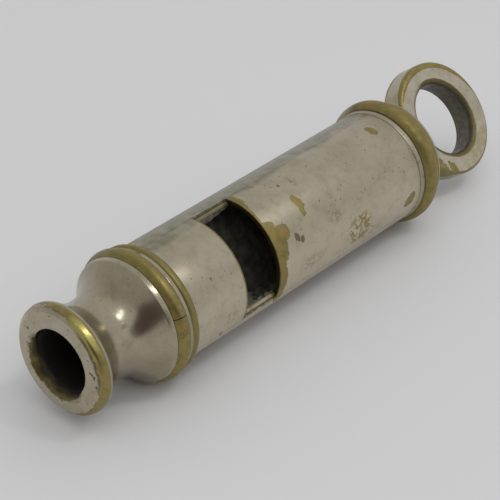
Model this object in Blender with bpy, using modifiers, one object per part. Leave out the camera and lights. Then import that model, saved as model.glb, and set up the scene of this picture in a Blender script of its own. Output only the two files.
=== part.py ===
"""Two-chamber tube whistle of nickel-plated brass, lying on its collar and its cap bead.

The pieces are laid out along the whistle's own axis, local +Z, from the lip of the mouthpiece
(height 0) to the far side of the hanging loop. One empty, whistle_axis, lays that axis along
world +Y and rolls it, so that the first window faces up and to +X as the whistle rests.
"""

import math

import bmesh
import bpy
from mathutils import Matrix, Vector

MM = 0.001

# Driving dimensions
TUBE_RADIUS = 8.0 * MM
TUBE_WALL = 0.7 * MM
TUBE_START = 15.6 * MM
TUBE_END = 60.3 * MM
REST_RADIUS = 8.96 * MM  # the collar and the cap bead, which the whistle lies on
LIP_BACK = 2.05 * MM  # where the lip's rounded rim runs into the waist
LIP_RISE = 0.108  # mm of radius gained per squared mm from the neck back to the lip
MOUTH_RADIUS = 5.1 * MM
NECK_BORE_RADIUS = 4.4 * MM
PLENUM_RADIUS = 6.2 * MM
NECK_RADIUS = 5.52 * MM
NECK_HEIGHT = 5.9 * MM
SHOULDER_RADIUS = 8.4 * MM
SHOULDER_HEIGHT = 12.0 * MM
SEAT_RADIUS = 7.9 * MM
SEAT_END = 14.05 * MM
LAND_RADIUS = 8.66 * MM  # the plated land between the collar ring and the narrow bead
NARROW_BEAD_START = 14.35 * MM
NARROW_BEAD_END = 15.3 * MM
NARROW_BEAD_RADIUS = 8.92 * MM
COLLAR_RING_BORE = 8.2 * MM
COLLAR_JOINT_ANGLE = math.radians(-76)
BEAD_EDGE_RADIUS = 8.72 * MM
SPIGOT_END = 19.4 * MM
WINDOW_START = 24.8 * MM
WINDOW_END = 31.1 * MM
WINDOW_CHORD = 3.76 * MM  # how far from the axis each window is cut flat across the tube
PLATE_THICKNESS = 0.6 * MM
PLATE_END = 55.8 * MM
WINDWAY_CHORD = 5.8 * MM  # how far from the axis the flat of each voicing block lies
CHAMBER_STOP_HEIGHT = 49.0 * MM
CHAMBER_STOP_THICKNESS = 1.0 * MM
CAP_INNER_FACE = 56.1 * MM
CAP_STEP_RADIUS = 8.45 * MM
CAP_BEAD_START = 61.1 * MM
CAP_BEAD_END = 63.8 * MM
CAP_BEAD_EDGE = 8.6 * MM
DOME_START = 64.2 * MM
DOME_RADIUS = 8.0 * MM
DOME_TOP = 66.8 * MM
LOOP_HEIGHT = 75.6 * MM
LOOP_OFFSET = -0.85 * MM  # the loop was soldered a little to one side of the axis
LOOP_RADIUS = 8.4 * MM
LOOP_HOLE_RADIUS = 5.2 * MM
LOOP_THICKNESS = 3.3 * MM
LOOP_EDGE = 0.35 * MM  # rounding of the loop's outer corners
LOOP_CHAMFER = 0.6 * MM  # bevel round the loop's eye
SHANK_RADIUS = 1.5 * MM
RIVET_RADIUS = 2.4 * MM
RIVET_THICKNESS = 0.8 * MM
RIVET_RECESS_RADIUS = 2.9 * MM
ROLL = math.radians(52.5)

# Working values
GAP = 0.3 * MM  # room between neighbouring pieces
STEPS = 72  # sides of every turned piece
BORE_RADIUS = TUBE_RADIUS - TUBE_WALL
FITTED_RADIUS = BORE_RADIUS - GAP  # pieces that slide into the tube
TOTAL_LENGTH = LOOP_HEIGHT + LOOP_RADIUS
CUTTER_REACH = 12.0 * MM
CUTTER_OVERRUN = 1.0 * MM

NICKEL = (0.56, 0.53, 0.46)
WORN_BRASS = (0.42, 0.35, 0.13)
DULL_BRASS = (0.16, 0.14, 0.09)


def clear_scene():
    for old in list(bpy.data.objects):
        bpy.data.objects.remove(old)


def new_collection(name):
    collection = bpy.data.collections.new(name)
    bpy.context.scene.collection.children.link(collection)
    return collection


def metal(name, colour, roughness):
    material = bpy.data.materials.new(name)
    material.use_nodes = True
    shader = material.node_tree.nodes["Principled BSDF"]
    shader.inputs["Base Color"].default_value = (*colour, 1.0)
    shader.inputs["Metallic"].default_value = 1.0
    shader.inputs["Roughness"].default_value = roughness
    return material


def smooth(mesh):
    mesh.shade_smooth()
    mesh.set_sharp_from_angle(angle=math.radians(35))


def curve(start, stop, count, radius_at):
    """Points (radius, height) at even heights from start to stop, both included."""
    heights = [start + (stop - start) * i / (count - 1) for i in range(count)]
    return [(radius_at(height), height) for height in heights]


def bead(start, stop, edge_radius, crest_radius, count=5):
    """Points over a rounded bead, which swells from edge_radius to crest_radius and back."""
    middle = (start + stop) / 2
    half = (stop - start) / 2

    def radius_at(height):
        return crest_radius - (crest_radius - edge_radius) * ((height - middle) / half) ** 2

    return curve(start, stop, count, radius_at)


def turned(name, outside, inside, place):
    """A ring turned about local Z. Both outlines run upwards as (radius, height)."""
    outline = list(reversed(outside)) + list(inside)
    mesh = bpy.data.meshes.new(name)
    points = [(radius, 0.0, height) for radius, height in outline]
    edges = [(i, (i + 1) % len(points)) for i in range(len(points))]
    mesh.from_pydata(points, edges, [])
    piece = bpy.data.objects.new(name, mesh)
    place.objects.link(piece)
    screw = piece.modifiers.new("Turn", "SCREW")
    screw.axis = "Z"
    screw.angle = math.tau
    screw.steps = STEPS
    screw.render_steps = STEPS
    screw.use_merge_vertices = True
    screw.merge_threshold = 0.00001
    screw.use_smooth_shade = True
    return piece


def block(name, low, high, place):
    """A box between two corners."""
    low = Vector(low)
    high = Vector(high)
    mesh = bpy.data.meshes.new(name)
    shape = bmesh.new()
    bmesh.ops.create_cube(shape, size=1.0)
    bmesh.ops.scale(shape, vec=high - low, verts=shape.verts)
    bmesh.ops.translate(shape, vec=(low + high) / 2, verts=shape.verts)
    shape.to_mesh(mesh)
    shape.free()
    piece = bpy.data.objects.new(name, mesh)
    place.objects.link(piece)
    return piece


def disc(name, radius, start, stop, place):
    """A round bar about local Z between two heights."""
    mesh = bpy.data.meshes.new(name)
    shape = bmesh.new()
    bmesh.ops.create_cone(
        shape,
        cap_ends=True,
        segments=STEPS,
        radius1=radius,
        radius2=radius,
        depth=stop - start,
        matrix=Matrix.Translation((0.0, 0.0, (start + stop) / 2)),
    )
    shape.to_mesh(mesh)
    shape.free()
    piece = bpy.data.objects.new(name, mesh)
    place.objects.link(piece)
    return piece


def apply_boolean(piece, tool, operation):
    change = piece.modifiers.new(tool.name, "BOOLEAN")
    change.object = tool
    change.operation = operation
    change.solver = "EXACT"


def as_cutter(tool):
    tool.display_type = "WIRE"
    tool.hide_render = True


def cut(piece, low, high, cutters, name):
    tool = block(name, low, high, cutters)
    as_cutter(tool)
    apply_boolean(piece, tool, "DIFFERENCE")
    return tool


def make_mouthpiece(parts):
    """Lip, waisted neck, flared bell, seat for the collar ring, narrow bead and spigot."""
    rise = LIP_RISE / MM
    flare = (SHOULDER_RADIUS - NECK_RADIUS) / (SHOULDER_HEIGHT - NECK_HEIGHT) ** 2

    def waist(height):
        steepness = rise if height < NECK_HEIGHT else flare
        return NECK_RADIUS + steepness * (height - NECK_HEIGHT) ** 2

    lip = [(5.35, 0.0), (6.55, 0.0), (7.0, 0.3), (7.3, 0.75), (7.42, 1.25), (7.36, 1.65)]
    outside = [(radius * MM, height * MM) for radius, height in lip]
    outside += curve(LIP_BACK, NECK_HEIGHT, 6, waist)
    outside += curve(NECK_HEIGHT, SHOULDER_HEIGHT, 8, waist)[1:]
    outside += [(SEAT_RADIUS, SHOULDER_HEIGHT), (SEAT_RADIUS, SEAT_END), (LAND_RADIUS, SEAT_END)]
    outside += bead(NARROW_BEAD_START, NARROW_BEAD_END, BEAD_EDGE_RADIUS, NARROW_BEAD_RADIUS)
    outside += [(FITTED_RADIUS, NARROW_BEAD_END), (FITTED_RADIUS, SPIGOT_END)]
    throat = NECK_BORE_RADIUS
    inside = [(MOUTH_RADIUS, 0.0), (throat + 0.2 * MM, 0.25 * MM), (throat, 0.8 * MM)]
    inside += [(throat, 9.6 * MM), (PLENUM_RADIUS, 13.6 * MM), (PLENUM_RADIUS, SPIGOT_END)]
    return turned("mouthpiece", outside, inside, parts)


def make_collar_ring(parts, cutters):
    """A strip of brass bent round the mouthpiece's seat, with a fine butt joint."""
    start = SHOULDER_HEIGHT + GAP
    stop = SEAT_END - GAP
    outside = bead(start, stop, BEAD_EDGE_RADIUS, REST_RADIUS)
    inside = [(COLLAR_RING_BORE, start), (COLLAR_RING_BORE, stop)]
    ring = turned("collar_ring", outside, inside, parts)
    joint = cut(
        ring,
        (0.0, -GAP / 2, start - CUTTER_OVERRUN),
        (CUTTER_REACH, GAP / 2, stop + CUTTER_OVERRUN),
        cutters,
        "collar_joint_cutter",
    )
    joint.rotation_euler.z = COLLAR_JOINT_ANGLE
    return ring, [joint]


def make_barrel(parts, cutters):
    """The drawn tube, with a flat window cut across each side."""
    outside = [(TUBE_RADIUS, TUBE_START), (TUBE_RADIUS, TUBE_END)]
    inside = [(BORE_RADIUS, TUBE_START), (BORE_RADIUS, TUBE_END)]
    barrel = turned("barrel_tube", outside, inside, parts)
    tools = []
    for side, name in ((-1, "first_window_cutter"), (1, "second_window_cutter")):
        near, far = sorted((side * WINDOW_CHORD, side * CUTTER_REACH))
        low = (-CUTTER_REACH, near, WINDOW_START)
        high = (CUTTER_REACH, far, WINDOW_END)
        tools.append(cut(barrel, low, high, cutters, name))
    return barrel, tools


def make_divider(parts):
    """The flat plate along the tube that parts the two sounding chambers."""
    half = PLATE_THICKNESS / 2
    low = (-FITTED_RADIUS, -half, SPIGOT_END + GAP)
    high = (FITTED_RADIUS, half, PLATE_END)
    return block("divider_plate", low, high, parts)


def half_moon(name, side, start, stop, chord, parts, cutters):
    """A disc kept on one side of the divider, and cut flat at chord where that is given."""
    piece = disc(name, FITTED_RADIUS, start, stop, parts)
    inner = side * (PLATE_THICKNESS / 2 + GAP)
    low_height = start - CUTTER_OVERRUN
    high_height = stop + CUTTER_OVERRUN
    cuts = [(-side * CUTTER_REACH, inner)]
    if chord:
        cuts.append((side * chord, side * CUTTER_REACH))
    tools = []
    for number, (first, second) in enumerate(cuts):
        near, far = sorted((first, second))
        low = (-CUTTER_REACH, near, low_height)
        high = (CUTTER_REACH, far, high_height)
        tools.append(cut(piece, low, high, cutters, f"{name}_cutter_{number}"))
    return piece, tools


def make_top_cap(parts):
    """The plug that closes the tube: spigot, plated step, rest bead and low dome."""
    shoulder = TUBE_END + GAP
    outside = [(FITTED_RADIUS, CAP_INNER_FACE), (FITTED_RADIUS, shoulder)]
    outside += [(CAP_STEP_RADIUS - 0.25 * MM, shoulder)]
    outside += [(CAP_STEP_RADIUS, shoulder + 0.25 * MM), (CAP_STEP_RADIUS, shoulder + 0.4 * MM)]
    outside += bead(CAP_BEAD_START, CAP_BEAD_END, CAP_BEAD_EDGE, REST_RADIUS, 7)
    hole_radius = SHANK_RADIUS + GAP

    def dome(height):
        part = (height - DOME_START) / (DOME_TOP - DOME_START)
        return hole_radius + (DOME_RADIUS - hole_radius) * math.sqrt(max(0.0, 1.0 - part * part))

    outside += curve(DOME_START, DOME_TOP, 6, dome)[:-1]
    outside += [(2 * hole_radius, DOME_TOP)]
    head_recess = CAP_INNER_FACE + RIVET_THICKNESS + 2 * GAP
    inside = [(RIVET_RECESS_RADIUS, CAP_INNER_FACE), (RIVET_RECESS_RADIUS, head_recess)]
    inside += [(hole_radius, head_recess), (hole_radius, DOME_TOP)]
    return turned("top_cap", outside, inside, parts)


def make_loop(parts, cutters):
    """The flat hanging ring with its shank, which passes through the cap and is riveted over."""
    half = LOOP_THICKNESS / 2
    edge = LOOP_EDGE
    chamfer = LOOP_CHAMFER
    outside = [
        (LOOP_RADIUS - edge, -half),
        (LOOP_RADIUS, -half + edge),
        (LOOP_RADIUS, half - edge),
        (LOOP_RADIUS - edge, half),
    ]
    inside = [
        (LOOP_HOLE_RADIUS + chamfer, -half),
        (LOOP_HOLE_RADIUS, -half + chamfer),
        (LOOP_HOLE_RADIUS, half - chamfer),
        (LOOP_HOLE_RADIUS + chamfer, half),
    ]
    loop = turned("hanging_loop", outside, inside, parts)
    loop.location = (LOOP_OFFSET, 0.0, LOOP_HEIGHT)
    loop.rotation_euler.x = math.radians(90)
    inside_ring = LOOP_HEIGHT - (LOOP_RADIUS + LOOP_HOLE_RADIUS) / 2
    head_bottom = CAP_INNER_FACE + GAP
    head_top = head_bottom + RIVET_THICKNESS
    inside_head = (head_bottom + head_top) / 2
    shank = disc("shank_former", SHANK_RADIUS, inside_head, inside_ring, cutters)
    head = disc("rivet_head_former", RIVET_RADIUS, head_bottom, head_top, cutters)
    for former in (shank, head):
        as_cutter(former)
        apply_boolean(loop, former, "UNION")
    return loop, [shank, head]


def main():
    clear_scene()
    parts = new_collection("tube_whistle")
    cutters = new_collection("cutters")
    nickel = metal("worn_nickel", NICKEL, 0.38)
    brass = metal("worn_brass", WORN_BRASS, 0.42)
    inner_brass = metal("dull_inner_brass", DULL_BRASS, 0.7)

    axis = bpy.data.objects.new("whistle_axis", None)
    parts.objects.link(axis)
    rest_height = REST_RADIUS * math.cos(math.pi / STEPS)
    axis.location = (0.0, -TOTAL_LENGTH / 2, rest_height)
    axis.rotation_euler = (math.radians(-90), ROLL, 0.0)

    mouthpiece = make_mouthpiece(parts)
    collar_ring, tools = make_collar_ring(parts, cutters)
    barrel, more = make_barrel(parts, cutters)
    tools += more
    divider = make_divider(parts)
    block_start = SPIGOT_END + GAP
    block_stop = WINDOW_START - GAP
    voicing_blocks = []
    for name, side in (("voicing_block_first", -1), ("voicing_block_second", 1)):
        piece, more = half_moon(name, side, block_start, block_stop, WINDWAY_CHORD, parts, cutters)
        voicing_blocks.append(piece)
        tools += more
    stop_end = CHAMBER_STOP_HEIGHT + CHAMBER_STOP_THICKNESS
    chamber_stop, more = half_moon(
        "chamber_stop", 1, CHAMBER_STOP_HEIGHT, stop_end, None, parts, cutters
    )
    tools += more
    top_cap = make_top_cap(parts)
    loop, more = make_loop(parts, cutters)
    tools += more

    inner_pieces = [divider, *voicing_blocks, chamber_stop]
    for piece in (mouthpiece, barrel, top_cap, loop):
        piece.data.materials.append(nickel)
    collar_ring.data.materials.append(brass)
    for piece in inner_pieces:
        piece.data.materials.append(inner_brass)
    for thing in (mouthpiece, collar_ring, barrel, top_cap, loop, *inner_pieces, *tools):
        smooth(thing.data)
        thing.parent = axis


main()
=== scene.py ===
"""Looks for the two-chamber tube whistle: worn nickel plate over brass, lying on a pale table.

Every piece is drawn in the whistle's own frame, in millimetres: +Z runs along the axis from the
lip of the mouthpiece, and the first window faces -Y. It is then laid over its CAD node.
"""

import math

import bmesh
import bpy
from mathutils import Euler, Matrix, Vector

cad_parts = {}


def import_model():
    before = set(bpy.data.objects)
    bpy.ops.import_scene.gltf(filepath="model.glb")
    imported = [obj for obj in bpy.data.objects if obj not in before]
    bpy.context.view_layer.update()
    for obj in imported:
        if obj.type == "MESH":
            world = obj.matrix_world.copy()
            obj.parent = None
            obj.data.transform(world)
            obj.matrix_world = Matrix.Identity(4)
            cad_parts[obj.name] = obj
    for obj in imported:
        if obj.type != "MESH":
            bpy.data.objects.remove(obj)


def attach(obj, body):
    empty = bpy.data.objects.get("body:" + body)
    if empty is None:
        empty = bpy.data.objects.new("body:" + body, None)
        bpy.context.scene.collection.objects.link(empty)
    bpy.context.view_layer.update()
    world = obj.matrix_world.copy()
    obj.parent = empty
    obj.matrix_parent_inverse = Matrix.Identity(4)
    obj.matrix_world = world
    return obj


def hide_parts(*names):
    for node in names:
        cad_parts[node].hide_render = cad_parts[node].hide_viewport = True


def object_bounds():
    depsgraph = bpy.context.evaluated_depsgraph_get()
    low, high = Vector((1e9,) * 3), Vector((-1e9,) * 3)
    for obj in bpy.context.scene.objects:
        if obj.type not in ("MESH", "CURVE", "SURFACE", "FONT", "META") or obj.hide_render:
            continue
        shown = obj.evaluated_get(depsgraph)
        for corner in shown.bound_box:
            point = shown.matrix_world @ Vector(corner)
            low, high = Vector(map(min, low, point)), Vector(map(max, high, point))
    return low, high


MM = 0.001

# The whistle's own frame
ROLL = math.radians(52.5)
REST_RADIUS = 8.95
ANGLE_OF_LOCAL_X = 90 + math.degrees(ROLL)  # in degrees round the axis from straight up towards +X

# Turned shapes, in mm
TUBE_RADIUS = 8.0
BORE_RADIUS = 7.3
PLUG_RADIUS = 7.27  # of all that fits in the bore
NECK_RADIUS = 5.52
NECK_HEIGHT = 5.9
LIP_RISE = 0.108
MOUTH_RADIUS = 4.4
LIP_RADIUS = 7.4
FLARE = 0.0524
SHOULDER_HEIGHT = 12.0
COLLAR_END = 13.8
LAND_RADIUS = 8.5
NARROW_BEAD = (14.36, 15.4)
NARROW_BEAD_RADIUS = 8.64
SPIGOT_END = 19.4
WINDOW = (24.8, 31.1)
WINDOW_CHORD = 3.76
DIVIDER_HALF = 0.3
DIVIDER_END = 56.0
VOICING_CHORD = 5.8
STOP_HEIGHTS = (49.0, 50.0)
COLLAR_JOINT = 66.5  # degrees round the axis from straight up towards +X
COLLAR_JOINT_WIDTH = 0.012  # radians
TUBE_END = 60.3
CAP_STEP_RADIUS = 8.1
CAP_BEAD = (61.1, 63.8)
CAP_SPIGOT_START = 56.1
DOME_START = 64.2
DOME_TOP = 66.8
LOOP_HEIGHT = 75.72
LOOP_OFFSET = -0.92
LOOP_LEAN = -0.4  # the oval ring leans this much in its own plane, in radians
LOOP_FRONT = -1.65
LOOP_BACK = 2.2
LOOP_MIDDLE = (LOOP_FRONT + LOOP_BACK) / 2
LOOP_OUTER = (8.52, 8.12)  # half axes of the ring's outline
LOOP_EYE = (5.42, 4.82)  # half axes of its eye
WEAR_SIDE = 215  # where the bore's mouth is worn most, in degrees round the axis
SIDES = 192
SHARP_ANGLE = math.radians(35)
SOFTEN_ANGLE = math.radians(40)
TOOL_REACH = 12.0  # half size of the boxes that cut the half moons
LIGHT_TARGET = (0, 0, 0.008)

# Colours of the metals, linear
NICKEL = (0.475, 0.428, 0.322)
NICKEL_DULL = (0.43, 0.384, 0.284)
# Painted reflection: darker grey-green nickel for the side of the tube that mirrors dim surroundings
NICKEL_GREEN_REFLECTION = (0.24, 0.23, 0.16)
# Painted reflection: paler nickel standing in for the bright floor mirrored in the plate
NICKEL_FLOOR_REFLECTION = (0.6, 0.543, 0.413)
LOOP_NICKEL = (0.555, 0.5, 0.385)
MOUTH_NICKEL = (0.43, 0.385, 0.285)
MOUTH_NICKEL_DULL = (0.385, 0.342, 0.248)
BRASS = (0.335, 0.272, 0.10)
# Painted highlight: pale yellow brass for the glint on the lip's rim
BRASS_HIGHLIGHT = (0.5, 0.43, 0.15)
BRASS_OLIVE = (0.26, 0.22, 0.082)
BRASS_ORANGE = (0.36, 0.24, 0.088)
DARK_BRASS = (0.21, 0.175, 0.066)
# Dark brown of worn plate edges, marks and pits; also the painted reflection stripe along the tube's edge
PLATE_EDGE_AND_SHADE = (0.14, 0.10, 0.055)
# Brown dirt; also painted shade in crevices and joints
GRIME_AND_SHADE = (0.05, 0.038, 0.026)
TARNISH = (0.15, 0.138, 0.118)
SOLDER = (0.2, 0.185, 0.135)
TENT = (0.66, 0.663, 0.672)
COLLAR_GREY = (0.27, 0.255, 0.165)
DIRTY_DARK = (0.03, 0.029, 0.023)
DIRTY_PALE = (0.09, 0.086, 0.068)
SOLDER_DARK = (0.075, 0.068, 0.05)
ROOM_DARK = (0.12, 0.09, 0.088)


# ---------------------------------------------------------------- shapes


def axis_matrix(low):
    """The whistle's own frame, in mm, laid in the row frame by the CAD model's box."""
    place = Matrix.Translation((0.0, low.y, REST_RADIUS * MM))
    turn = Euler((math.radians(-90), ROLL, 0.0)).to_matrix().to_4x4()
    return place @ turn @ Matrix.Scale(MM, 4)


def finish_mesh(name, shape, matrix):
    """Turns a bmesh drawn in the whistle's frame into an object in the row frame."""
    bmesh.ops.remove_doubles(shape, verts=shape.verts, dist=1e-4)
    bmesh.ops.recalc_face_normals(shape, faces=shape.faces)
    mesh = bpy.data.meshes.new(name)
    shape.to_mesh(mesh)
    shape.free()
    mesh.transform(matrix)
    mesh.shade_smooth()
    mesh.set_sharp_from_angle(angle=SHARP_ANGLE)
    piece = bpy.data.objects.new(name, mesh)
    bpy.context.scene.collection.objects.link(piece)
    return piece


def rounded(outline, closed=True):
    """An outline of (radius, height, corner rounding) with each corner made an arc."""
    points = []
    count = len(outline)
    for i, (x, y, rounding) in enumerate(outline):
        corner = Vector((x, y))
        if rounding == 0 or (not closed and i in (0, count - 1)):
            points.append(corner)
            continue
        before = Vector(outline[i - 1][:2]) - corner
        after = Vector(outline[(i + 1) % count][:2]) - corner
        half = before.angle(after) / 2
        reach = min(rounding / math.tan(half), 0.49 * before.length, 0.49 * after.length)
        first = corner + before.normalized() * reach
        last = corner + after.normalized() * reach
        for step in range(6):
            t = step / 5
            points.append((1 - t) ** 2 * first + 2 * t * (1 - t) * corner + t * t * last)
    return points


def sweep(shape, rings, closed_round, closed_outline=True):
    """Faces between rings of points. Open ends are capped when the sweep isn't closed round."""
    layers = [[shape.verts.new(point) for point in ring] for ring in rings]
    count = len(layers)
    for i in range(count if closed_round else count - 1):
        here, there = layers[i], layers[(i + 1) % count]
        size = len(here)
        for j in range(size if closed_outline else size - 1):
            k = (j + 1) % size
            shape.faces.new((here[j], there[j], there[k], here[k]))
    if not closed_round:
        shape.faces.new(layers[0])
        shape.faces.new(reversed(layers[-1]))


def turn(shape, outline, slit=None, slit_width=0.0):
    """Turns an outline of (radius, height) about the axis, leaving a slit open if one is named.

    An outline that changes on its way round is a function of the angle.
    """
    rings = []
    if slit is None:
        angles = [math.tau * i / SIDES for i in range(SIDES)]
    else:
        span = math.tau - slit_width
        angles = [slit + slit_width / 2 + span * i / SIDES for i in range(SIDES + 1)]
    for angle in angles:
        c, s = math.cos(angle), math.sin(angle)
        section = outline(angle) if callable(outline) else outline
        rings.append([(radius * c, radius * s, height) for radius, height in section])
    sweep(shape, rings, closed_round=slit is None)


def curve_points(start, stop, count, radius_at):
    """Points of (radius, height), evenly spaced in height from start to stop."""
    return [
        (radius_at(start + (stop - start) * i / (count - 1)), start + (stop - start) * i / (count - 1))
        for i in range(count)
    ]


def bead_points(start, stop, edge, crest, count=12):
    """A rounded bead, full like half an ellipse and with its sides cut at the edge radius."""
    middle, half = (start + stop) / 2, (stop - start) / 2
    return curve_points(
        start, stop, count, lambda h: edge + (crest - edge) * (1 - abs((h - middle) / half) ** 2.6)
    )


def local_angle(round_angle):
    """The angle from local +X, in radians, of a place given in degrees from straight up to +X."""
    return math.radians(round_angle - ANGLE_OF_LOCAL_X)


def make_mouthpiece(matrix):
    """Lip, waisted neck, flared bell, the land behind the collar, narrow bead and spigot."""

    def waist(height):
        if height < NECK_HEIGHT:
            return NECK_RADIUS + LIP_RISE * (height - NECK_HEIGHT) ** 2
        return NECK_RADIUS + FLARE * (height - NECK_HEIGHT) ** 2.4

    def outline(angle):
        wear = max(0.0, math.cos(angle - local_angle(WEAR_SIDE))) ** 0.7
        wear *= 1 + 0.12 * math.sin(5 * angle) + 0.1 * math.sin(11 * angle + 1)
        return mouthpiece_outline(waist, wear)

    shape = bmesh.new()
    turn(shape, outline)
    return finish_mesh("mouthpiece_body", shape, matrix)


def mouthpiece_outline(waist, wear):
    """The mouthpiece's section. wear is how much the bore's mouth is rounded off, from 0 to 1."""
    lip = rounded(
        [
            (MOUTH_RADIUS, 2.2, 0),
            (MOUTH_RADIUS, 0.1 + 0.9 * wear, 0.15 + 0.65 * wear),
            (4.72 + 0.55 * wear, 0.0, 0.2),
            (6.62, 0.04, 0.2),
            (7.2, 0.42, 0.6),
            (LIP_RADIUS, 1.25, 0.7),
            (LIP_RADIUS - 0.15, 1.85, 0.25),
            (waist(2.3), 2.3, 0.5),
            (waist(2.8), 2.8, 0),
        ],
        closed=False,
    )
    neck = curve_points(3.0, NECK_HEIGHT, 16, waist)
    bell = curve_points(NECK_HEIGHT, 10.95, 26, waist)[1:]
    shoulder = rounded(
        [
            (waist(11.0), 11.0, 0),
            (8.25, 11.09, 0.25),
            (8.4, 11.76, 0.15),
            (8.3, 11.94, 0),
            (8.0, SHOULDER_HEIGHT, 0),
            (8.0, COLLAR_END, 0),
            (LAND_RADIUS, COLLAR_END, 0.14),
            (LAND_RADIUS, NARROW_BEAD[0], 0.08),
        ],
        closed=False,
    )
    crest = bead_points(*NARROW_BEAD, 8.38, NARROW_BEAD_RADIUS)
    root = NARROW_BEAD[1] + 0.22
    spigot = [(8.35, root - 0.06), (8.03, root), (7.25, root), (7.25, SPIGOT_END)]
    bore = [(6.2, SPIGOT_END), (6.2, 13.6), (MOUTH_RADIUS, 9.6)]
    return [tuple(point) for point in (*lip, *neck, *bell, *shoulder, *crest, *spigot, *bore)]


def make_collar_ring(matrix):
    """A strip of brass bent round the mouthpiece's seat, with a fine butt joint."""
    start, stop = SHOULDER_HEIGHT - 0.08, COLLAR_END - 0.02
    outline = [(7.97, start)]
    for i in range(19):
        u = i / 18
        swell = 1 - abs(2 * u - 1.16) ** 2.3 / 1.16**2.3
        outline.append((8.3 + (REST_RADIUS - 8.3) * swell, start + (stop - start) * u))
    outline.append((7.97, stop))
    shape = bmesh.new()
    turn(shape, outline, slit=local_angle(COLLAR_JOINT), slit_width=COLLAR_JOINT_WIDTH)
    return finish_mesh("collar_band", shape, matrix)


def box_object(name, low, high, matrix):
    """A box between two corners, in mm."""
    shape = bmesh.new()
    bmesh.ops.create_cube(shape, size=1.0)
    low, high = Vector(low), Vector(high)
    bmesh.ops.scale(shape, vec=high - low, verts=shape.verts)
    bmesh.ops.translate(shape, vec=(low + high) / 2, verts=shape.verts)
    return finish_mesh(name, shape, matrix)


def apply_modifiers(piece):
    """Replaces a piece's mesh by its evaluated one, and drops the modifiers."""
    graph = bpy.context.evaluated_depsgraph_get()
    mesh = bpy.data.meshes.new_from_object(piece.evaluated_get(graph))
    piece.modifiers.clear()
    piece.data = mesh


def cut_away(piece, tools):
    """Cuts each tool's shape out of a piece, and removes the tools."""
    for tool in tools:
        change = piece.modifiers.new(tool.name, "BOOLEAN")
        change.object = tool
        change.solver = "EXACT"
    apply_modifiers(piece)
    for tool in tools:
        bpy.data.objects.remove(tool)


def soften(piece, width):
    """Rounds a piece's hard edges."""
    bevel = piece.modifiers.new("Soften", "BEVEL")
    bevel.width = width * MM
    bevel.segments = 3
    bevel.limit_method = "ANGLE"
    bevel.angle_limit = SOFTEN_ANGLE
    apply_modifiers(piece)
    piece.data.shade_smooth()
    piece.data.set_sharp_from_angle(angle=SOFTEN_ANGLE)


def make_barrel(matrix):
    """The drawn tube with a flat window cut across each side."""
    heights = [NARROW_BEAD[1] + 0.1, *WINDOW, TUBE_END - 0.03, TUBE_END]
    outer_half = math.asin(WINDOW_CHORD / TUBE_RADIUS)
    inner_half = math.asin(WINDOW_CHORD / BORE_RADIUS)
    shape = bmesh.new()
    columns = []
    for quarter in range(4):
        is_window = quarter % 2 == 1
        steps = 64 if is_window else 32
        outer_span = math.pi / 2 - outer_half if is_window else outer_half
        inner_span = math.pi / 2 - inner_half if is_window else inner_half
        for i in range(steps):
            u = 2 * i / steps - 1
            outer_angle = math.pi / 2 * quarter + outer_span * u
            inner_angle = math.pi / 2 * quarter + inner_span * u
            outer, inner = [], []
            for height in heights:
                radius = TUBE_RADIUS - (0.03 if height == TUBE_END else 0.0)
                x, y = radius * math.cos(outer_angle), radius * math.sin(outer_angle)
                outer.append(shape.verts.new((x, y, height)))
                x, y = BORE_RADIUS * math.cos(inner_angle), BORE_RADIUS * math.sin(inner_angle)
                inner.append(shape.verts.new((x, y, height)))
            columns.append((outer, inner, is_window, i == 0))
    for i, (outer, inner, is_window, is_first) in enumerate(columns):
        next_outer, next_inner = columns[(i + 1) % len(columns)][:2]
        for level in range(len(heights) - 1):
            if is_window and level == 1:
                continue
            for here, there in ((outer, next_outer), (inner, next_inner)):
                shape.faces.new((here[level], there[level], there[level + 1], here[level + 1]))
        for level in (0, 1, 2, 4) if is_window else (0, 4):
            shape.faces.new((outer[level], next_outer[level], next_inner[level], inner[level]))
        if is_first:
            shape.faces.new((outer[1], inner[1], inner[2], outer[2]))
    tube = finish_mesh("barrel_shell", shape, matrix)
    soften(tube, 0.1)
    return tube


def make_divider(matrix):
    """The flat plate that parts the two chambers, soldered along its edges."""
    low = (-PLUG_RADIUS, -DIVIDER_HALF, SPIGOT_END + 0.1)
    plate = box_object("divider", low, (PLUG_RADIUS, DIVIDER_HALF, DIVIDER_END), matrix)
    soften(plate, 0.06)
    return plate


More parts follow.
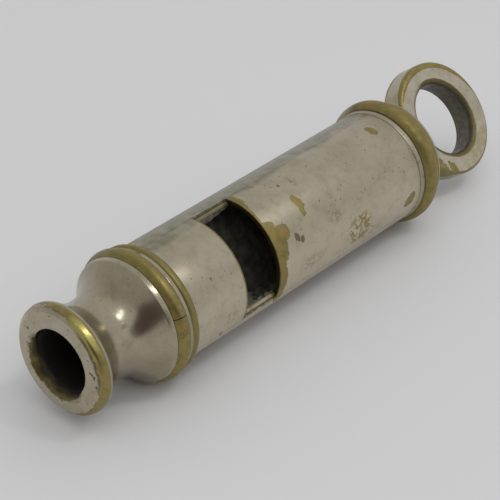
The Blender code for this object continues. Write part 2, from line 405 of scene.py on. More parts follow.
def make_solder(matrix):
    """Lumpy fillets of soft solder that hold the divider's edges to the tube."""
    shape = bmesh.new()
    for side_x in (-1, 1):
        for side_y in (-1, 1):
            rings = []
            for i in range(120):
                height = SPIGOT_END + 0.2 + (55.7 - SPIGOT_END - 0.2) * i / 119
                phase = 1.9 * side_x + 0.7 * side_y
                size = 1.5 + 0.35 * math.sin(0.83 * height + phase)
                size += 0.22 * math.sin(2.9 * height + 2 * phase)
                top = DIVIDER_HALF + size
                wall = math.sqrt(BORE_RADIUS**2 - top**2) - 0.01
                foot = 7.2 - 1.1 * size
                ring = [(7.22, 0.28), (wall, top)]
                for step in range(1, 6):
                    s = step / 6
                    bend = (1 - s) ** 2, 2 * s * (1 - s), s * s
                    x = bend[0] * wall + bend[1] * (wall - 0.2) + bend[2] * foot
                    y = bend[0] * top + bend[1] * 0.62 + bend[2] * 0.31
                    ring.append((x, y))
                ring.append((foot, 0.28))
                rings.append([(side_x * x, side_y * y, height) for x, y in ring])
            sweep(shape, rings, closed_round=False)
    # Ragged beads along the two flat edges of each window
    for side_x, side_y in ((-1, -1), (1, -1), (-1, 1), (1, 1)):
        rings = []
        for i in range(60):
            u = i / 59
            height = WINDOW[0] - 0.1 + (WINDOW[1] - WINDOW[0] + 0.2) * u
            if side_x == side_y:
                wide = 0.15 + 0.75 * (1 - u) ** 0.9 + 0.04 * math.sin(31 * u)
            else:
                wide = 0.12 + 0.2 * math.sin(17 * u) ** 2 + 0.12 * math.sin(43 * u + 1) ** 2
            section = [(6.5, 3.72), (6.22, 3.7), (6.2 - wide, 3.5), (6.24 - wide, 3.3)]
            section += [(6.55, 2.5), (7.0, 2.3)]
            rings.append([(side_x * x, side_y * y, height) for x, y in section])
        sweep(shape, rings, closed_round=False)
    return finish_mesh("solder_fillets", shape, matrix)


def make_half_moon(name, side, start, stop, chord, matrix):
    """A disc kept on one side of the divider, with a flat for the windway where chord is given."""
    shape = bmesh.new()
    turn(shape, [(0.5, start), (PLUG_RADIUS, start), (PLUG_RADIUS, stop), (0.5, stop)])
    piece = finish_mesh(name, shape, matrix)
    cuts = [("half_tool", -side * TOOL_REACH, side * (DIVIDER_HALF + 0.02))]
    if chord:
        cuts.append(("flat_tool", side * chord, side * TOOL_REACH))
    tools = []
    for tool_name, *span in cuts:
        near, far = sorted(span)
        low, high = (-TOOL_REACH, near, start - 1), (TOOL_REACH, far, stop + 1)
        tools.append(box_object(tool_name, low, high, matrix))
    cut_away(piece, tools)
    soften(piece, 0.08)
    return piece


def make_top_cap(matrix):
    """The plug that closes the tube: spigot, plated step, rest bead and low dome."""
    shoulder = TUBE_END + 0.01
    step = rounded(
        [
            (PLUG_RADIUS, CAP_SPIGOT_START, 0),
            (PLUG_RADIUS, shoulder, 0),
            (TUBE_RADIUS + 0.02, shoulder, 0),
            (CAP_STEP_RADIUS, shoulder + 0.18, 0.1),
            (CAP_STEP_RADIUS + 0.06, CAP_BEAD[0] - 0.03, 0),
            (CAP_STEP_RADIUS + 0.02, CAP_BEAD[0] - 0.01, 0),
        ],
        closed=False,
    )
    outline = [tuple(point) for point in step]
    outline += bead_points(*CAP_BEAD, 8.2, REST_RADIUS, 20)

    def dome(height):
        part = (height - DOME_START) / (DOME_TOP - DOME_START)
        return 1.6 + 6.5 * math.sqrt(max(0.0, 1.0 - part * part))

    outline += [(8.2, DOME_START - 0.1)]
    outline += curve_points(DOME_START, DOME_TOP, 20, dome)
    outline += [(1.6, CAP_SPIGOT_START)]
    shape = bmesh.new()
    turn(shape, outline)
    return finish_mesh("cap_plug", shape, matrix)


def make_loop(matrix):
    """The flat hanging ring, a little oval, with its shank, rivet head and solder fillet."""
    half = (LOOP_BACK - LOOP_FRONT) / 2
    centre = Vector((LOOP_OFFSET, LOOP_MIDDLE, LOOP_HEIGHT))
    lean = Matrix.Rotation(LOOP_LEAN, 3, "Y")
    shape = bmesh.new()
    rings = []
    for i in range(SIDES):
        t = math.tau * i / SIDES
        outer = lean @ Vector((LOOP_OUTER[0] * math.sin(t), 0.0, LOOP_OUTER[1] * math.cos(t)))
        inner = lean @ Vector((LOOP_EYE[0] * math.sin(t), 0.0, LOOP_EYE[1] * math.cos(t)))
        across = outer - inner
        width = across.length
        across.normalize()
        section = rounded(
            [
                (0.0, -half, 0.8),
                (width, -half, 0.6),
                (width, half, 0.6),
                (0.0, half, 0.8),
            ]
        )
        rings.append([centre + inner + across * u + Vector((0, v, 0)) for u, v in section])
    sweep(shape, rings, closed_round=True)
    foot = []
    for i in range(14):
        t = i / 13
        height = 65.5 + 4.2 * t
        wide = 3.1 + 2.3 * (1 - t) ** 2.2
        thick = 1.28 + 1.5 * (1 - t) ** 2.6
        x = LOOP_OFFSET * t
        foot.append(
            [
                (x + wide * math.cos(math.tau * j / 48), thick * math.sin(math.tau * j / 48), height)
                for j in range(48)
            ]
        )
    sweep(shape, foot, closed_round=False)
    turn(shape, [(0.2, 56.4), (2.4, 56.4), (2.4, 57.2), (1.5, 57.2), (1.5, 66.1), (0.2, 66.1)])
    return finish_mesh("loop_ring", shape, matrix)


# ---------------------------------------------------------------- materials


class Paint:
    """Short spellings for one material's node tree."""

    def __init__(self, name):
        self.material = bpy.data.materials.new(name)
        self.material.use_nodes = True
        self.tree = self.material.node_tree
        self.shader = self.tree.nodes["Principled BSDF"]

    def feed(self, socket, value):
        if isinstance(value, bpy.types.NodeSocket):
            self.tree.links.new(value, socket)
        else:
            socket.default_value = value

    def node(self, kind, inputs, output=0, **settings):
        made = self.tree.nodes.new(kind)
        for key, value in settings.items():
            setattr(made, key, value)
        for socket, value in inputs.items():
            self.feed(made.inputs[socket], value)
        return made.outputs[output]

    def math(self, operation, *values, clamp=False):
        return self.node("ShaderNodeMath", dict(enumerate(values)), operation=operation, use_clamp=clamp)

    def both(self, *masks):
        result = masks[0]
        for mask in masks[1:]:
            result = self.math("MULTIPLY", result, mask)
        return result

    def either(self, *masks):
        result = masks[0]
        for mask in masks[1:]:
            result = self.math("MAXIMUM", result, mask)
        return result

    def vector(self, operation, first, second=(0, 0, 0), output=0):
        return self.node("ShaderNodeVectorMath", {0: first, 1: second}, output, operation=operation)

    def rise(self, value, low, high, bottom=0.0, top=1.0):
        """bottom below low and top above high, smooth between. With low above high it falls instead."""
        return self.node(
            "ShaderNodeMapRange",
            {"Value": value, "From Min": low, "From Max": high, "To Min": bottom, "To Max": top},
            interpolation_type="SMOOTHSTEP",
        )

    def band(self, value, low, high, soft):
        return self.both(
            self.rise(value, low - soft, low + soft), self.rise(value, high + soft, high - soft)
        )

    def noise(self, where, scale, detail=3.0, rough=0.55, output=0):
        return self.node(
            "ShaderNodeTexNoise",
            {"Vector": where, "Scale": scale, "Detail": detail, "Roughness": rough},
            output,
        )

    def mix(self, factor, first, second):
        made = self.tree.nodes.new("ShaderNodeMix")
        made.data_type = "RGBA"
        for key, value in ((0, factor), (6, first), (7, second)):
            if isinstance(value, tuple):
                value = (*value, 1.0)
            self.feed(made.inputs[key], value)
        return made.outputs[2]

    def shift(self, where, scale, amount, detail=3.0):
        """Coordinates pushed about by noise, which makes outlines ragged."""
        push = self.noise(where, scale, detail, 0.6, output=1)
        push = self.vector("SUBTRACT", push, (0.5, 0.5, 0.5))
        push = self.node("ShaderNodeVectorMath", {0: push, "Scale": amount}, operation="SCALE")
        return self.vector("ADD", where, push)

    def parts(self, where):
        split = self.node("ShaderNodeSeparateXYZ", {0: where}).node
        return split.outputs[0], split.outputs[1], split.outputs[2]

    def join(self, x, y, z=0.0):
        return self.node("ShaderNodeCombineXYZ", {0: x, 1: y, 2: z})

    def inside(self, where, centre, turned, size):
        """Coordinates in a turned box: its centre is the origin, and its faces are at 1."""
        return self.node(
            "ShaderNodeMapping",
            {"Vector": where, "Location": centre, "Rotation": turned, "Scale": size},
            vector_type="TEXTURE",
        )


class Surface(Paint):
    """A material whose patterns are placed in the whistle's own frame, in mm."""

    def __init__(self, name, matrix):
        super().__init__(name)
        place = self.node("ShaderNodeTexCoord", {}, 3)
        self.where = self.inside(place, matrix.translation, matrix.to_euler(), (MM, MM, MM))
        self.ragged = self.shift(self.shift(self.where, 0.8, 1.0, 3.0), 3.2, 0.3, 3.0)
        self.x, self.y, self.height = self.parts(self.where)
        ragged_x, self.ragged_y, self.ragged_height = self.parts(self.ragged)
        self.radius = self.vector("LENGTH", self.join(self.x, self.y), output=1)
        self.ragged_radius = self.vector("LENGTH", self.join(ragged_x, self.ragged_y), output=1)

    def facing(self, around):
        """1 on the side of the whistle at this angle, and -1 on the far side."""
        angle = local_angle(around)
        side = (math.cos(angle), math.sin(angle), 0)
        across = self.vector("DOT_PRODUCT", self.join(self.x, self.y), side, 1)
        return self.math("DIVIDE", across, self.radius)

    def patch(self, place, size, tilt=0.0, edge=0.14, radius=TUBE_RADIUS):
        """A worn spot. place is its height and angle, size its half length along and its half width."""
        height, around = place
        angle = local_angle(around)
        centre = (radius * math.cos(angle), radius * math.sin(angle), height)
        turned = (Matrix.Rotation(angle, 3, "Z") @ Matrix.Rotation(math.radians(tilt), 3, "X")).to_euler()
        inside = self.inside(self.ragged, centre, turned, (3.0, size[1], size[0]))
        return self.rise(self.vector("LENGTH", inside, output=1), 1.0, 1.0 - edge)

    def pits(self, scale, share, size):
        """Small round pits scattered over the surface."""
        cells = self.node("ShaderNodeTexVoronoi", {"Vector": self.where, "Scale": scale}).node
        pick, spread, _ = self.parts(cells.outputs["Color"])
        widest = self.math("MULTIPLY", spread, size)
        hole = self.rise(cells.outputs["Distance"], widest, self.math("MULTIPLY", widest, 0.4))
        return self.both(hole, self.math("LESS_THAN", pick, share))

    def scratches(self, lean, length, width, low, high):
        """Fine straight marks over the tube. lean is in degrees from the axis."""
        round_tube = self.math("MULTIPLY", self.math("ARCTAN2", self.y, self.x), TUBE_RADIUS)
        unrolled = self.join(round_tube, self.height)
        streaks = self.inside(unrolled, (0, 0, 0), (0, 0, math.radians(lean)), (width, length, 1.0))
        return self.rise(self.noise(streaks, 1.0, 2.0, 0.5), low, high)


def aged_brass(paint):
    """Brass gone olive in places and orange in others."""
    tone = paint.mix(paint.rise(paint.noise(paint.where, 1.1, 4.0, 0.6), 0.38, 0.62), BRASS_OLIVE, BRASS)
    warm = paint.rise(paint.noise(paint.vector("ADD", paint.where, (7, 3, 11)), 0.55, 3.0), 0.52, 0.68)
    return paint.mix(paint.both(warm, 0.7), tone, BRASS_ORANGE)


def worn_plate(name, matrix, nickel, dull, gloss, brass_mask, layers=(), floor_reflection_mask=None):
    """Old nickel plate, worn through to brass where brass_mask says.

    layers are (mask, colour, added roughness), each laid over the ones before. The last argument says
    where the plate is painted paler, as a painted reflection of the bright floor.
    """
    paint = Surface(name, matrix)
    brass = brass_mask(paint)
    cloudy = paint.rise(paint.noise(paint.where, 0.25, 4.0), 0.38, 0.62)
    grain = paint.noise(paint.where, 3.4, 4.0, 0.65)
    pits = paint.pits(1.4, 0.45, 0.24)
    marks = paint.either(
        paint.scratches(24, 1.6, 0.07, 0.64, 0.70),
        paint.scratches(-62, 1.1, 0.06, 0.66, 0.72),
        paint.scratches(78, 2.2, 0.08, 0.66, 0.72),
    )
    blotch = paint.noise(paint.vector("ADD", paint.where, (13, 5, 2)), 0.65, 4.0, 0.6)
    colour = paint.mix(cloudy, dull, nickel)
    # Painted reflection of the bright floor, paler where the mask says
    if floor_reflection_mask:
        colour = paint.mix(floor_reflection_mask(paint), colour, NICKEL_FLOOR_REFLECTION)
    colour = paint.mix(paint.rise(blotch, 0.45, 0.7, 0.0, 0.16), colour, PLATE_EDGE_AND_SHADE)
    colour = paint.mix(paint.rise(grain, 0.38, 0.75, 0.0, 0.08), colour, PLATE_EDGE_AND_SHADE)
    colour = paint.mix(paint.both(marks, 0.3), colour, PLATE_EDGE_AND_SHADE)
    colour = paint.mix(paint.both(pits, 0.75), colour, PLATE_EDGE_AND_SHADE)
    colour = paint.mix(brass, colour, aged_brass(paint))
    rim = paint.both(brass, paint.math("SUBTRACT", 1.0, brass), 2.6)
    colour = paint.mix(rim, colour, PLATE_EDGE_AND_SHADE)
    rough = paint.math("MULTIPLY_ADD", grain, 0.1, gloss - 0.05)
    rough = paint.math("MULTIPLY_ADD", brass, 0.13, rough)
    for mask, tint, added in layers:
        amount = mask(paint)
        colour = paint.mix(amount, colour, tint)
        rough = paint.math("MULTIPLY_ADD", amount, added, rough, clamp=True)
    paint.feed(paint.shader.inputs["Base Color"], colour)
    paint.feed(paint.shader.inputs["Roughness"], rough)
    paint.shader.inputs["Metallic"].default_value = 1.0
    relief = paint.math("MULTIPLY", paint.noise(paint.where, 0.6, 3.0, 0.5), 0.8)
    for mask, depth in ((brass, -0.35), (pits, -0.8), (marks, -0.25)):
        relief = paint.math("MULTIPLY_ADD", mask, depth, relief)
    bump = paint.node("ShaderNodeBump", {"Strength": 0.3, "Distance": 0.03 * MM, "Height": relief})
    paint.feed(paint.shader.inputs["Normal"], bump)
    return paint.material


def mouthpiece_brass(paint):
    """The narrow bead, the left of the land beside it, and the rubbed rim of the lip."""
    bead = paint.band(paint.height, NARROW_BEAD[0] + 0.04, NARROW_BEAD[1] + 0.5, 0.05)
    land = paint.both(
        paint.band(paint.height, COLLAR_END - 0.3, NARROW_BEAD[0] + 0.2, 0.05),
        paint.rise(paint.facing(-80), 0.1, 0.3),
    )
    right = paint.facing(95)
    start = paint.rise(right, -0.4, 0.75, 7.2, 6.68)
    rim = paint.both(
        paint.rise(paint.math("SUBTRACT", paint.ragged_radius, start), 0.0, 0.14),
        paint.rise(paint.height, 1.5, 1.35),
        paint.rise(right, -0.85, -0.6),
    )
    return paint.either(bead, land, rim)


def bore_edge(paint):
    """The lower left of the bore's mouth, worn to dark brass."""
    below = paint.facing(WEAR_SIDE)
    stop = paint.rise(below, 0.0, 0.9, 4.4, 5.38)
    bitten = paint.shift(paint.ragged, 1.7, 1.3)
    x, y, _ = paint.parts(bitten)
    radius = paint.vector("LENGTH", paint.join(x, y), output=1)
    return paint.both(
        paint.rise(paint.math("SUBTRACT", stop, radius), -0.05, 0.12),
        paint.rise(paint.height, 1.6, 1.0),
        paint.rise(below, 0.0, 0.3),
    )


def bore_soot(paint):
    """Dirt caked on the worn edge, thickest towards the bore."""
    caked = paint.rise(paint.noise(paint.where, 1.6, 4.0, 0.65), 0.36, 0.62)
    deep = paint.rise(paint.ragged_radius, 5.1, 4.6)
    spread = paint.rise(paint.ragged_radius, 5.5, 5.1, 0.0, 0.55)
    near = paint.both(paint.rise(paint.facing(WEAR_SIDE), 0.0, 0.3), paint.rise(paint.height, 1.6, 1.0))
    return paint.both(paint.either(paint.both(spread, caked), deep), near, 0.85)


def bore_dark(paint):
    """The bore, tarnished from just inside its mouth."""
    return paint.both(paint.rise(paint.radius, 4.75, 4.5), paint.rise(paint.height, 0.5, 1.5))


def lip_mark(paint, around, radius, size, tilt=0.0):
    """A mark on the lip's face. size is its half length outwards and its half width."""
    angle = local_angle(around)
    centre = (radius * math.cos(angle), radius * math.sin(angle), 0.0)
    inside = paint.inside(paint.ragged, centre, (0, 0, angle + math.radians(tilt)), (*size, 1.0))
    return paint.rise(paint.vector("LENGTH", inside, output=1), 1.0, 0.7)


def lip_dirt_and_shade(paint):
    """Brown dirt inside the lip's rubbed rim, with a few dents, and painted shade in the joint behind the
    narrow bead.
    """
    groove = paint.both(
        paint.band(paint.ragged_radius, 6.52, 6.78, 0.14),
        paint.rise(paint.height, 0.6, 0.4),
        paint.rise(paint.facing(64), 0.75, 0.95, 0.0, 0.7),
    )
    dents = paint.either(
        lip_mark(paint, 79, 5.7, (0.5, 0.2), 40),
        lip_mark(paint, 84, 6.1, (0.18, 0.45), 20),
        lip_mark(paint, 95, 6.35, (0.22, 0.35)),
        lip_mark(paint, 62, 5.9, (0.12, 0.2)),
        lip_mark(paint, 300, 5.7, (0.15, 0.3)),
        lip_mark(paint, 350, 6.3, (0.14, 0.25)),
    )
    # Painted shade in the joint behind the narrow bead
    root = paint.band(paint.height, NARROW_BEAD[1] + 0.1, NARROW_BEAD[1] + 0.25, 0.06)
    return paint.either(groove, paint.both(dents, 0.75), paint.both(root, 0.6))


def bead_matte(paint):
    """The narrow bead is duller than the other rubbed brass."""
    return paint.both(paint.band(paint.height, *NARROW_BEAD, 0.08), 0.5)


def lip_floor_reflection(paint):
    """Painted reflection: the plate is painted palest on the lip's face, where it mirrors the bright
    floor in front of it.
    """
    return paint.rise(paint.height, 0.5, 0.2, 0.0, 0.35)


def lip_highlight(paint):
    """The brightest part of the lip's rubbed rim, painted as a highlight."""
    return paint.both(
        paint.rise(paint.radius, 6.75, 7.0),
        paint.rise(paint.height, 1.3, 1.0),
        paint.rise(paint.facing(40), 0.86, 0.98),
    )


def neck_smudge(paint):
    """A faint smudge where the neck meets the bell."""
    return paint.both(paint.patch((6.9, 50), (0.5, 0.35), radius=5.7, edge=0.6), 0.4)


def window_side(paint):
    """1 where the tube's side is cut away, at any height."""
    first = paint.math("ABSOLUTE", paint.ragged_y)
    return paint.rise(first, WINDOW_CHORD - 0.25 - 0.1, WINDOW_CHORD - 0.25 + 0.1)


def barrel_brass(paint):
    """Rubbed window lips and a few patches where the plate has flaked."""
    cap_lip = paint.band(paint.ragged_height, WINDOW[1] - 0.6, WINDOW[1] + 0.3, 0.1)
    mouth_lip = paint.band(paint.height, WINDOW[0] - 0.2, WINDOW[0] + 0.4, 0.05)
    lips = paint.both(window_side(paint), paint.either(cap_lip, mouth_lip))
    spots = [
        ((31.3, 3), (0.75, 2.0), 0),
        ((31.9, 41), (0.95, 0.85), 0),
        ((33.2, 52), (1.35, 1.15), 0),
        ((32.1, 59), (1.3, 2.3), 0),
        ((32.3, 69), (1.0, 1.3), 0),
        ((31.5, 92), (1.0, 4.0), 0),
        ((31.4, 112), (0.9, 1.8), 0),
        ((38.0, 30), (0.5, 0.6), 0),
        ((38.3, 37), (0.6, 0.85), 0),
        ((38.1, 45), (0.42, 0.75), 0),
        ((57.0, 11), (0.6, 1.0), 20),
        ((58.0, 97), (1.3, 0.85), 35),
        ((31.4, 232), (0.8, 5.5), 0),
        ((32.6, 250), (1.2, 1.0), 0),
        ((44.0, 200), (0.7, 1.4), 20),
        ((56.0, 285), (1.5, 0.8), 0),
    ]
    return paint.either(lips, *[paint.patch(place, size, tilt) for place, size, tilt in spots])


def star_scratches(paint):
    """A cluster of short crossed scratches, cut through to the brass."""
    cluster = paint.patch((47.2, 92), (2.9, 2.6), 20, edge=0.4)
    strokes = paint.either(
        paint.scratches(35, 2.4, 0.5, 0.52, 0.56),
        paint.scratches(-40, 2.0, 0.45, 0.55, 0.59),
        paint.scratches(85, 2.0, 0.45, 0.56, 0.6),
    )
    return paint.both(cluster, strokes)


def dark_spot(paint):
    """An L of brown tarnish beside the large worn patch, and a few pits."""
    return paint.both(
        paint.either(
            paint.patch((35.35, 63), (0.42, 0.6), 0),
            paint.patch((36.1, 67), (0.5, 0.4), 0),
            paint.patch((20.4, 114), (0.25, 0.5), 0),
            paint.patch((41.4, 46), (0.16, 0.16), 0),
            paint.patch((37.9, 12), (0.3, 0.25), 0),
            paint.patch((19.7, 52), (0.16, 0.2), 0),
        ),
        0.75,
    )


def tube_haze(paint):
    """Faint greyish streaks where the plate is thin."""
    zones = paint.either(
        paint.patch((43.2, 66), (2.2, 1.4), edge=0.9),
        paint.patch((37.5, 95), (3.5, 1.5), edge=0.9),
        paint.patch((49.5, 105), (5.0, 2.2), edge=0.9),
        paint.patch((40.2, 15), (1.2, 1.6), edge=0.9),
        paint.patch((22.0, 100), (2.0, 2.0), edge=0.9),
    )
    breakup = paint.rise(paint.noise(paint.where, 1.8, 4.0, 0.7), 0.42, 0.6)
    return paint.both(zones, breakup, 0.45)


def tube_side_reflection(paint):
    """The grey-green side of the tube, away from the window, with a wavering edge: a painted reflection,
    darker where the plate mirrors the dim surroundings behind the whistle.
    """
    waver = paint.math("MULTIPLY_ADD", paint.noise(paint.where, 0.16, 4.0, 0.6), 0.35, -0.175)
    side = paint.math("ADD", paint.facing(-50), waver)
    streaks = paint.rise(paint.noise(paint.where, 0.7, 3.0), 0.35, 0.65, 0.5, 1.0)
    start = paint.rise(paint.height, 18, 46, 0.6, 0.75)
    beyond = paint.math("SUBTRACT", side, start)
    return paint.both(paint.rise(beyond, -0.04, 0.06), streaks)


def tube_floor_reflection(paint):
    """Painted reflection: the plate is painted paler low on the window's side, where it mirrors the
    bright floor.
    """
    return paint.rise(paint.facing(108), 0.6, 0.95, 0.0, 0.85)


def tube_edge_reflection(paint):
    """A darker stripe about 2 mm wide, away from the first window: a painted reflection of the dark far
    floor along the tube's edge. It is guessed, not seen.
    """
    line = paint.rise(paint.facing(-40), 0.988, 0.995)
    return paint.both(line, paint.rise(paint.noise(paint.where, 0.9, 3.0), 0.35, 0.6, 0.4, 0.85))


def tube_inside(paint):
    """The tube's bore, which is all tarnished."""
    return paint.rise(paint.radius, BORE_RADIUS + 0.04, BORE_RADIUS + 0.01)


def window_cut(paint):
    """The cut faces of the window are darkened, except at their outer corner."""
    cut = paint.rise(paint.radius, TUBE_RADIUS - 0.12, TUBE_RADIUS - 0.2)
    across = paint.rise(paint.height, WINDOW[1] - 0.1, WINDOW[1])
    return paint.both(cut, across, 0.9)


def window_edges(paint):
    """The flat cut faces along both sides of each window."""
    across = paint.math("ABSOLUTE", paint.y)
    return paint.band(across, WINDOW_CHORD - 0.02, WINDOW_CHORD + 0.02, 0.03)


def window_seam(paint):
    """The tarnished tube wall outside the seam along the window's two flat edges."""
    edge = paint.math("ABSOLUTE", paint.x)
    blotches = paint.rise(paint.noise(paint.where, 2.2, 3.0), 0.35, 0.6, 0.5, 0.9)
    seam = paint.band(edge, 6.7, 6.86, 0.04)
    wall = paint.both(paint.rise(edge, 6.74, 6.82), blotches)
    return paint.both(paint.either(seam, wall), window_edges(paint))


def window_flat(paint):
    """The rest of the window's flat edges, rubbed to dull brass in places."""
    edge = paint.math("ABSOLUTE", paint.x)
    worn = paint.rise(paint.noise(paint.where, 1.1, 3.0), 0.35, 0.6, 0.4, 0.8)
    return paint.both(window_edges(paint), paint.rise(edge, 6.9, 6.7), worn)


def cap_brass(paint):
    """The cap's bead, which is still dull at its left."""
    bead = paint.band(paint.height, CAP_BEAD[0] - 0.02, DOME_START + 0.25, 0.06)
    return paint.both(bead, paint.rise(paint.facing(-75), 0.88, 0.6, 0.1, 1.0))


def cap_dirt_and_shade(paint):
    """Dirt and painted shade in the crevice in front of the cap's bead, most at the top, and a little
    painted shade in the joint with the tube.
    """
    front = paint.band(paint.height, CAP_BEAD[0] - 0.08, CAP_BEAD[0] + 0.04, 0.07)
    upper = paint.rise(paint.facing(0), 0.6, 0.98, 0.25, 0.8)
    # Painted shade in the joint with the tube
    joint = paint.band(paint.height, TUBE_END + 0.02, TUBE_END + 0.06, 0.04)
    return paint.either(paint.both(front, upper), paint.both(joint, 0.15))


def loop_place(paint, half_axes):
    """How far out a point lies in the loop's plane, where 1 is on the oval with these half axes."""
    x = paint.math("SUBTRACT", paint.x, LOOP_OFFSET)
    z = paint.math("SUBTRACT", paint.height, LOOP_HEIGHT)
    size = (half_axes[0], 1.0, half_axes[1])
    turned = paint.inside(paint.join(x, 0.0, z), (0, 0, 0), (0, LOOP_LEAN, 0), size)
    return paint.vector("LENGTH", turned, output=1)


def loop_side(paint, lean):
    """1 on the side of the ring at this angle from its far end towards local +X, -1 opposite."""
    angle = math.radians(lean)
    x = paint.math("SUBTRACT", paint.x, LOOP_OFFSET)
    z = paint.math("SUBTRACT", paint.height, LOOP_HEIGHT)
    flat = paint.join(x, 0.0, z)
    return paint.vector(
        "DOT_PRODUCT", paint.vector("NORMALIZE", flat), (math.sin(angle), 0, math.cos(angle)), 1
    )


def loop_depth(paint):
    """How far a point lies from the loop's middle plane, less so much that its faces are at 1.65."""
    away = paint.math("ABSOLUTE", paint.math("SUBTRACT", paint.y, LOOP_MIDDLE))
    return paint.math("SUBTRACT", away, LOOP_MIDDLE)


def loop_brass(paint):
    """The loop's rubbed outer corners, and the bevel round all but one side of its eye."""
    face = paint.math("SUBTRACT", loop_depth(paint), 0.15)
    face = paint.math("MULTIPLY_ADD", paint.noise(paint.where, 0.8, 4.0), 0.3, face)
    outside = loop_place(paint, LOOP_OUTER)
    wide = paint.rise(loop_side(paint, -75), 0.2, 0.95, 0.0, 0.5)
    reach = paint.math("MULTIPLY_ADD", outside, 8.32, face)
    corner = paint.rise(paint.math("ADD", reach, wide), 9.5, 9.66)
    eye = loop_place(paint, LOOP_EYE)
    bevel = paint.rise(paint.math("MULTIPLY_ADD", eye, -5.1, face), -4.2, -4.05)
    near = paint.rise(eye, 1.35, 1.25)
    worn_side = paint.rise(loop_side(paint, -150), 0.8, 0.5)
    foot = paint.either(
        paint.patch((70.6, 124), (0.8, 0.6), 30, radius=5.0),
        paint.patch((72.6, 130), (0.7, 0.6), radius=6.4),
        paint.patch((71.2, 137), (1.3, 1.2), radius=5.8),
    )
    ring = paint.rise(paint.height, 67.5, 68.5)
    rubbed = paint.either(corner, paint.both(bevel, near, worn_side))
    return paint.either(paint.both(ring, rubbed), foot)


def loop_shade(paint):
    """Dirt and painted shade in the bevel round the loop's eye."""
    return paint.both(paint.rise(loop_place(paint, LOOP_EYE), 1.16, 1.08), 0.5)


def loop_tint(paint):
    """Thin, yellowed plate on one side of the loop's face."""
    blotches = paint.rise(paint.noise(paint.where, 0.7, 3.0), 0.38, 0.62)
    return paint.both(paint.rise(loop_side(paint, 50), 0.6, 0.95), blotches, 0.4)


def loop_eye(paint):
    """The wall of the loop's eye, tarnished in blotches."""
    eye = loop_place(paint, LOOP_EYE)
    wall = paint.rise(eye, 1.09, 1.03)
    face = paint.rise(loop_depth(paint), 1.7, 1.25)
    blotches = paint.rise(paint.noise(paint.where, 1.4, 3.0), 0.35, 0.65, 0.6, 1.0)
    return paint.both(wall, face, blotches)


def make_brass(name, matrix):
    """The collar ring's brass, greyer on its left."""
    paint = Surface(name, matrix)
    colour = aged_brass(paint)
    left = paint.both(paint.rise(paint.facing(-70), 0.55, 0.85), 0.7)
    colour = paint.mix(left, colour, COLLAR_GREY)
    grain = paint.noise(paint.where, 2.6, 4.0, 0.6)
    pits = paint.pits(1.6, 0.5, 0.2)
    colour = paint.mix(paint.either(paint.rise(grain, 0.5, 0.8, 0.0, 0.3), pits), colour, PLATE_EDGE_AND_SHADE)
    paint.feed(paint.shader.inputs["Base Color"], colour)
    paint.feed(paint.shader.inputs["Roughness"], paint.math("MULTIPLY_ADD", grain, 0.24, 0.33))
    paint.shader.inputs["Metallic"].default_value = 1.0
    relief = paint.math("MULTIPLY_ADD", pits, -0.6, paint.noise(paint.where, 1.0, 4.0))
    bump = paint.node("ShaderNodeBump", {"Strength": 0.4, "Distance": 0.03 * MM, "Height": relief})
    paint.feed(paint.shader.inputs["Normal"], bump)
    return paint.material


def make_mottled(name, matrix, dark, pale, scale, rough, metallic):
    """Dirty metal inside the whistle, which is never polished."""
    paint = Surface(name, matrix)
    mottle = paint.noise(paint.where, scale, 5.0, 0.6)
    paint.feed(paint.shader.inputs["Base Color"], paint.mix(paint.rise(mottle, 0.3, 0.7), dark, pale))
    paint.feed(paint.shader.inputs["Roughness"], paint.math("MULTIPLY_ADD", mottle, 0.3, rough - 0.15))
    paint.shader.inputs["Metallic"].default_value = metallic
    bump = paint.node("ShaderNodeBump", {"Strength": 0.6, "Distance": 0.08 * MM, "Height": mottle})
    paint.feed(paint.shader.inputs["Normal"], bump)
    return paint.material


# ---------------------------------------------------------------- studio


def make_floor():
    """The pale table, a hair below the lowest point of the whistle."""
    bpy.ops.mesh.primitive_plane_add(size=6.0, location=(0, 0, -0.00002))
    floor = bpy.context.object
    floor.name = "table"
    paint = Paint("pale_table")
    paint.shader.inputs["Base Color"].default_value = (0.755, 0.757, 0.766, 1)
    paint.shader.inputs["Roughness"].default_value = 0.75
    paint.shader.inputs["Specular IOR Level"].default_value = 0.2
    floor.data.materials.append(paint.material)


def area_light(name, direction, distance, size, power, glossy=True):
    """A round light this far from the whistle. Metal doesn't mirror it when glossy is off."""
    lamp = bpy.data.lights.new(name, "AREA")
    lamp.shape = "DISK"
    lamp.size = size
    lamp.energy = power
    holder = bpy.data.objects.new(name, lamp)
    direction = Vector(direction).normalized()
    holder.location = Vector(LIGHT_TARGET) + direction * distance
    holder.rotation_euler = direction.to_track_quat("Z", "Y").to_euler()
    holder.visible_glossy = glossy
    bpy.context.scene.collection.objects.link(holder)


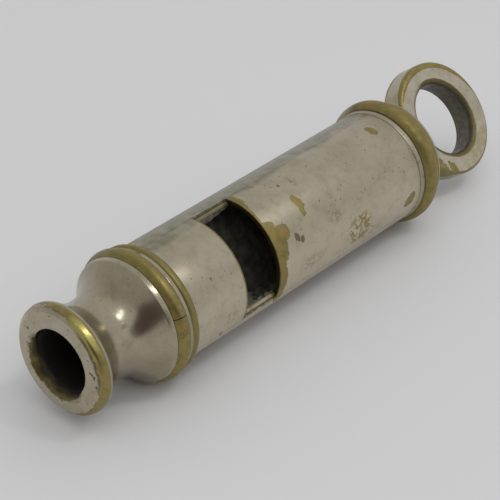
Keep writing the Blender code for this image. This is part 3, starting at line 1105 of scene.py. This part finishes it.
def make_world():
    """A pale tent, dimmer over the mouthpiece, and dark where the camera and its holder stand."""
    world = bpy.data.worlds.new("tent")
    world.use_nodes = True
    bpy.context.scene.world = world
    tree = world.node_tree
    coords = tree.nodes.new("ShaderNodeTexCoord")
    background = tree.nodes["Background"]
    colour = None
    for direction, outer, inner, level in (
        ((-0.45, -0.65, 0.6), 0.3, 0.88, (0.46, 0.455, 0.45)),
        ((0.95, -0.05, 0.22), 0.93, 0.985, (0.25, 0.247, 0.225)),
        ((0.84, -0.44, 0.22), 0.86, 0.95, ROOM_DARK),
        ((0.6, -0.68, 0.42), 0.93, 0.98, ROOM_DARK),
        ((0.47, -0.86, 0.17), 0.93, 0.985, ROOM_DARK),
    ):
        dot = tree.nodes.new("ShaderNodeVectorMath")
        dot.operation = "DOT_PRODUCT"
        dot.inputs[1].default_value = Vector(direction).normalized()
        tree.links.new(coords.outputs["Generated"], dot.inputs[0])
        amount = tree.nodes.new("ShaderNodeMapRange")
        amount.interpolation_type = "SMOOTHSTEP"
        amount.inputs["From Min"].default_value = outer
        amount.inputs["From Max"].default_value = inner
        tree.links.new(dot.outputs["Value"], amount.inputs["Value"])
        mix = tree.nodes.new("ShaderNodeMix")
        mix.data_type = "RGBA"
        mix.inputs[6].default_value = (*TENT, 1.0)
        mix.inputs[7].default_value = (*level, 1.0)
        tree.links.new(amount.outputs[0], mix.inputs[0])
        if colour is not None:
            tree.links.new(colour, mix.inputs[6])
        colour = mix.outputs[2]
    tree.links.new(colour, background.inputs["Color"])


def make_camera():
    """The camera, placed by a fit to the whistle's outlines."""
    camera = bpy.data.cameras.new("camera")
    camera.lens = 135.84
    camera.sensor_width = 36.0
    camera.clip_start = 0.01
    holder = bpy.data.objects.new("camera", camera)
    holder.location = (0.135052, -0.161876, 0.141206)
    look = Vector((-0.5525, 0.6309, -0.54466))
    holder.rotation_euler = look.to_track_quat("-Z", "Y").to_euler()
    bpy.context.scene.collection.objects.link(holder)
    bpy.context.scene.camera = holder


def dress(piece, node, material):
    """Shows a piece in place of its CAD node, with its material."""
    piece.data.materials.clear()
    piece.data.materials.append(material)
    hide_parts(node)
    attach(piece, "root")


def main():
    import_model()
    cad_low, cad_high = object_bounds()
    matrix = axis_matrix(cad_low)
    make_camera()
    make_floor()
    make_world()
    bpy.context.scene.view_settings.view_transform = "Standard"
    area_light("overhead", (0.42, -0.34, 1.0), 0.95, 1.2, 2.38, glossy=False)
    area_light("lamp", (0.46, 0.22, 0.86), 0.8, 0.11, 0.44)
    area_light("lamp_tail", (0.4, 0.02, 0.92), 0.8, 0.16, 0.16)

    mouth_plate = worn_plate(
        "mouthpiece_plate",
        matrix,
        MOUTH_NICKEL,
        MOUTH_NICKEL_DULL,
        0.22,
        mouthpiece_brass,
        [
            (bore_edge, DARK_BRASS, 0.15),
            (bore_soot, GRIME_AND_SHADE, 0.2),
            (bead_matte, BRASS_OLIVE, 0.25),
            # Painted highlight on the lip's rim
            (lip_highlight, BRASS_HIGHLIGHT, -0.12),
            (lip_dirt_and_shade, GRIME_AND_SHADE, 0.3),
            (neck_smudge, PLATE_EDGE_AND_SHADE, 0.1),
            (bore_dark, TARNISH, 0.3),
        ],
        # Painted reflection of the floor on the lip's face
        lip_floor_reflection,
    )
    barrel_plate = worn_plate(
        "barrel_plate",
        matrix,
        NICKEL,
        NICKEL_DULL,
        0.36,
        barrel_brass,
        [
            # Painted reflection: the darker grey-green side of the tube
            (tube_side_reflection, NICKEL_GREEN_REFLECTION, -0.05),
            # Painted reflection: a dark stripe along the tube's edge
            (tube_edge_reflection, PLATE_EDGE_AND_SHADE, 0.0),
            (tube_haze, PLATE_EDGE_AND_SHADE, 0.1),
            (star_scratches, BRASS, 0.1),
            (dark_spot, PLATE_EDGE_AND_SHADE, 0.2),
            (window_cut, GRIME_AND_SHADE, 0.2),
            (window_flat, BRASS_OLIVE, 0.15),
            (window_seam, GRIME_AND_SHADE, 0.2),
            (tube_inside, TARNISH, 0.3),
        ],
        # Painted reflection of the floor, low on the window's side
        tube_floor_reflection,
    )
    cap_plate = worn_plate(
        "cap_plate", matrix, NICKEL, NICKEL_DULL, 0.4, cap_brass, [(cap_dirt_and_shade, GRIME_AND_SHADE, 0.3)]
    )
    loop_plate = worn_plate(
        "loop_plate",
        matrix,
        LOOP_NICKEL,
        NICKEL,
        0.3,
        loop_brass,
        [(loop_tint, BRASS, 0.05), (loop_shade, GRIME_AND_SHADE, 0.1), (loop_eye, TARNISH, 0.2)],
    )
    collar_brass = make_brass("rubbed_brass", matrix)
    dark = make_mottled("tarnished_brass", matrix, DIRTY_DARK, DIRTY_PALE, 0.9, 0.65, 0.2)
    solder = make_mottled("soft_solder", matrix, SOLDER_DARK, SOLDER, 1.3, 0.55, 0.5)

    dress(make_mouthpiece(matrix), "mouthpiece", mouth_plate)
    dress(make_collar_ring(matrix), "collar_ring", collar_brass)
    dress(make_barrel(matrix), "barrel_tube", barrel_plate)
    dress(make_top_cap(matrix), "top_cap", cap_plate)
    dress(make_loop(matrix), "hanging_loop", loop_plate)
    dress(make_divider(matrix), "divider_plate", dark)
    dress(make_solder(matrix), "divider_plate", solder)
    start, stop = SPIGOT_END + 0.1, WINDOW[0] - 0.1
    for name, side in (("first", -1), ("second", 1)):
        moon = make_half_moon(f"{name}_block", side, start, stop, VOICING_CHORD, matrix)
        dress(moon, f"voicing_block_{name}", dark)
    moon = make_half_moon("chamber_end", 1, *STOP_HEIGHTS, None, matrix)
    dress(moon, "chamber_stop", dark)


main()
